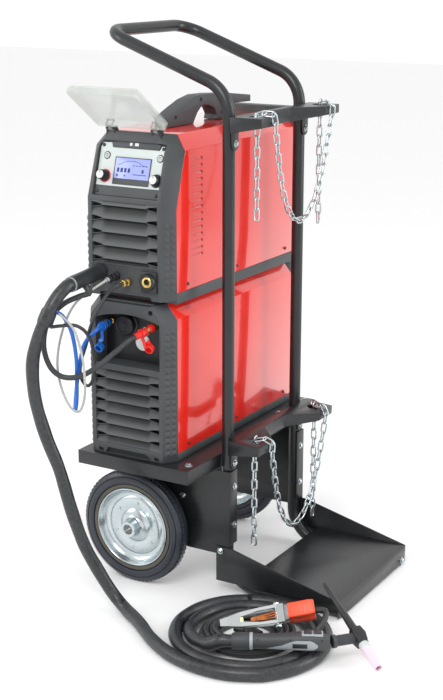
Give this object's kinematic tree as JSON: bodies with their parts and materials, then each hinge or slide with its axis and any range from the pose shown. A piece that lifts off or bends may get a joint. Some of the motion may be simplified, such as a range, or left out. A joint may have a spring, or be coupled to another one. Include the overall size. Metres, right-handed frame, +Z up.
{
  "type": "tig welder",
  "caption": "Water-cooled TIG welding set: power source on a cooler, on a two-wheel trolley with gas bottle cradles, chains, hose bundle, torch and earth clamp.",
  "frame": {"origin": "middle of the footprint on the floor, measured without the hoses, torch and earth clamp", "axes": "+Z up, -Y the side that the control panels face, +X towards the gas bottle's toe plate"},
  "size_m": [0.7642, 0.7944, 1.1673],
  "materials": {
    "powder_black": "satin",
    "zinc": "polished",
    "tyre_rubber": "matt",
    "red_paint": "gloss",
    "bezel_plastic": "matt",
    "black_plastic": "satin",
    "hose_rubber": "satin",
    "grey_metal": "matt",
    "clear_plastic": "gloss",
    "screen_glass": "gloss",
    "knob_plastic": "satin",
    "blue_plastic": "satin",
    "red_plastic": "satin",
    "grey_cable": "satin",
    "pink_ceramic": "satin",
    "brass": "polished",
    "steel": "matt"
  },
  "bodies": {
    "trolley": {"axle": "zinc", "carry_handle": "bezel_plastic", "ceramic_cup": "pink_ceramic", "control_cable": "grey_cable", "control_panel": "black_plastic", "control_plug": "black_plastic", "coolant_hose_blue": "blue_plastic", "coolant_hose_red": "hose_rubber", "coolant_pump": "grey_metal", "coolant_tank": "knob_plastic", "cooler_base": "bezel_plastic", "cooler_case": "red_paint", "cooler_front_bezel": "bezel_plastic", "cooler_rear_bezel": "bezel_plastic", "coupling_blue": "blue_plastic", "coupling_red": "red_plastic", "earth_cable": "hose_rubber", "earth_cable_coil": "hose_rubber", "earth_clamp_jaw_lower": "steel", "earth_plug": "black_plastic", "earth_socket": "black_plastic", "frame_tube_front": "powder_black", "frame_tube_rear": "powder_black", "gas_fitting": "brass", "gas_hose": "hose_rubber", "handle_bow": "powder_black", "lcd_screen": "screen_glass", "lower_chain": "zinc", "lower_cradle": "powder_black", "machine_shelf": "powder_black", "mains_gland": "black_plastic", "power_module": "grey_metal", "side_plate_front": "powder_black", "side_plate_rear": "powder_black", "toe_plate": "powder_black", "torch_handle": "black_plastic", "torch_head": "hose_rubber", "torch_hose": "hose_rubber", "torch_hose_coil": "hose_rubber", "torch_plug": "hose_rubber", "upper_chain": "zinc", "upper_cradle": "powder_black", "welder_base": "bezel_plastic", "welder_case": "red_paint", "welder_front_bezel": "bezel_plastic", "welder_rear_bezel": "bezel_plastic"},
    "front_wheel": {"wheel_rim_front": "zinc", "tyre_front": "tyre_rubber"},
    "rear_wheel": {"wheel_rim_rear": "zinc", "tyre_rear": "tyre_rubber"},
    "lid": {"panel_lid": "clear_plastic"},
    "left_knob": {"knob_left": "knob_plastic"},
    "right_knob": {"knob_right": "knob_plastic"},
    "left_button": {"button_left": "knob_plastic"},
    "right_button": {"button_right": "knob_plastic"},
    "power_switch": {"main_switch": "black_plastic"},
    "fan": {"welder_fan": "black_plastic"},
    "tank_cap": {"filler_cap": "black_plastic"},
    "trigger": {"torch_trigger": "hose_rubber"},
    "clamp_jaw": {"earth_clamp_jaw_upper": "steel"}
  },
  "joints": [
    {"name": "front_wheel_spin", "type": "hinge", "parent": "trolley", "child": "front_wheel", "pos_m": [-0.171, -0.1732, 0.125], "axis": [0, 1, 0], "continuous": true},
    {"name": "rear_wheel_spin", "type": "hinge", "parent": "trolley", "child": "rear_wheel", "pos_m": [-0.171, 0.2328, 0.125], "axis": [0, 1, 0], "continuous": true},
    {"name": "lid_hinge", "type": "hinge", "parent": "trolley", "child": "lid", "pos_m": [-0.144, -0.2002, 0.972], "axis": [1, 0, 0], "range_deg": [0, 108]},
    {"name": "left_knob_turn", "type": "hinge", "parent": "trolley", "child": "left_knob", "pos_m": [-0.2, -0.21963, 0.88012], "axis": [0, -0.9563, 0.2924], "continuous": true},
    {"name": "right_knob_turn", "type": "hinge", "parent": "trolley", "child": "right_knob", "pos_m": [-0.0785, -0.22022, 0.87821], "axis": [0, -0.9563, 0.2924], "continuous": true},
    {"name": "left_button_press", "type": "slide", "parent": "trolley", "child": "left_button", "axis": [0, 0.9563, -0.2924], "range_m": [0, 0.0013], "stiffness_N_per_m": 300, "springref_m": -0.001},
    {"name": "right_button_press", "type": "slide", "parent": "trolley", "child": "right_button", "axis": [0, 0.9563, -0.2924], "range_m": [0, 0.0013], "stiffness_N_per_m": 300, "springref_m": -0.001},
    {"name": "power_switch_turn", "type": "hinge", "parent": "trolley", "child": "power_switch", "pos_m": [-0.09, 0.2891, 0.88], "axis": [0, 1, 0], "range_deg": [0, 90]},
    {"name": "fan_spin", "type": "hinge", "parent": "trolley", "child": "fan", "pos_m": [-0.144, 0.2498, 0.8], "axis": [0, 1, 0], "continuous": true},
    {"name": "tank_cap_turn", "type": "hinge", "parent": "trolley", "child": "tank_cap", "pos_m": [-0.164, -0.1995, 0.577], "axis": [0, -1, 0], "range_deg": [0, 180]},
    {"name": "trigger_press", "type": "hinge", "parent": "trolley", "child": "trigger", "pos_m": [0.31004, -0.33608, 0.05875], "axis": [-0.46, 0.8879, 0], "range_deg": [0, 2.5], "stiffness_Nm_per_rad": 0.6, "springref_deg": -2.86},
    {"name": "clamp_jaw_open", "type": "hinge", "parent": "trolley", "child": "clamp_jaw", "pos_m": [0.24026, -0.29913, 0.06809], "axis": [-0.4327, 0.4912, 0.756], "range_deg": [0, 14], "stiffness_Nm_per_rad": 2, "springref_deg": -17.19}
  ]
}
